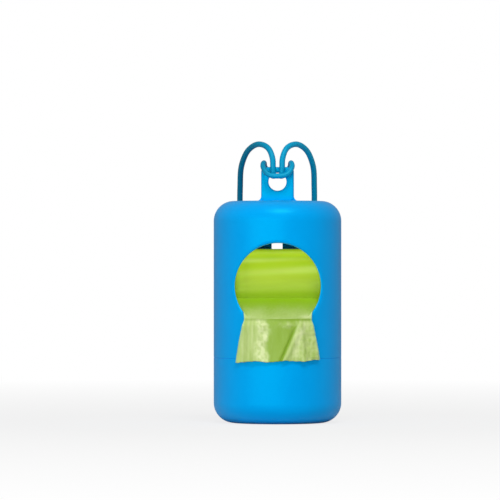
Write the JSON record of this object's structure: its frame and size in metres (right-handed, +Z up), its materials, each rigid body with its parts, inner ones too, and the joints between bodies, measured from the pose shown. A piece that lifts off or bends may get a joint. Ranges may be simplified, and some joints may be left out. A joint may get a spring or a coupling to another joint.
{
  "type": "dog waste bag dispenser",
  "caption": "Round two-part case that holds a roll of waste bags across it behind a round window, with a bag hanging out in front and a wrist cord hitched to a tab on top.",
  "frame": {"origin": "middle of the flat base, on the surface that it stands on", "axes": "+Z up, -Y towards the window side, +X to the right of someone who looks at the window"},
  "size_m": [0.051, 0.0568, 0.1125],
  "materials": {
    "case_plastic": "satin",
    "carrier_plastic": "satin",
    "spindle_plastic": "satin",
    "core_card": "matte",
    "wound_film": "satin",
    "loose_film": "satin",
    "cord": "satin",
    "ferrule_plastic": "satin"
  },
  "bodies": {
    "base": {"base_cap": "case_plastic", "roll_carrier": "carrier_plastic", "roll_spindle": "spindle_plastic"},
    "housing": {"housing_shell": "case_plastic", "leading_bag": "loose_film", "lanyard_cord": "cord", "lanyard_ferrule": "ferrule_plastic"},
    "roll": {"roll_core": "core_card", "bag_roll": "wound_film"}
  },
  "joints": [
    {"name": "housing_lift", "type": "slide", "parent": "base", "child": "housing", "axis": [0, 0, 1], "range_m": [0, 0.045]},
    {"name": "roll_turn", "type": "hinge", "parent": "base", "child": "roll", "pos_m": [0, 0, 0.0555], "axis": [1, 0, 0], "continuous": true}
  ]
}
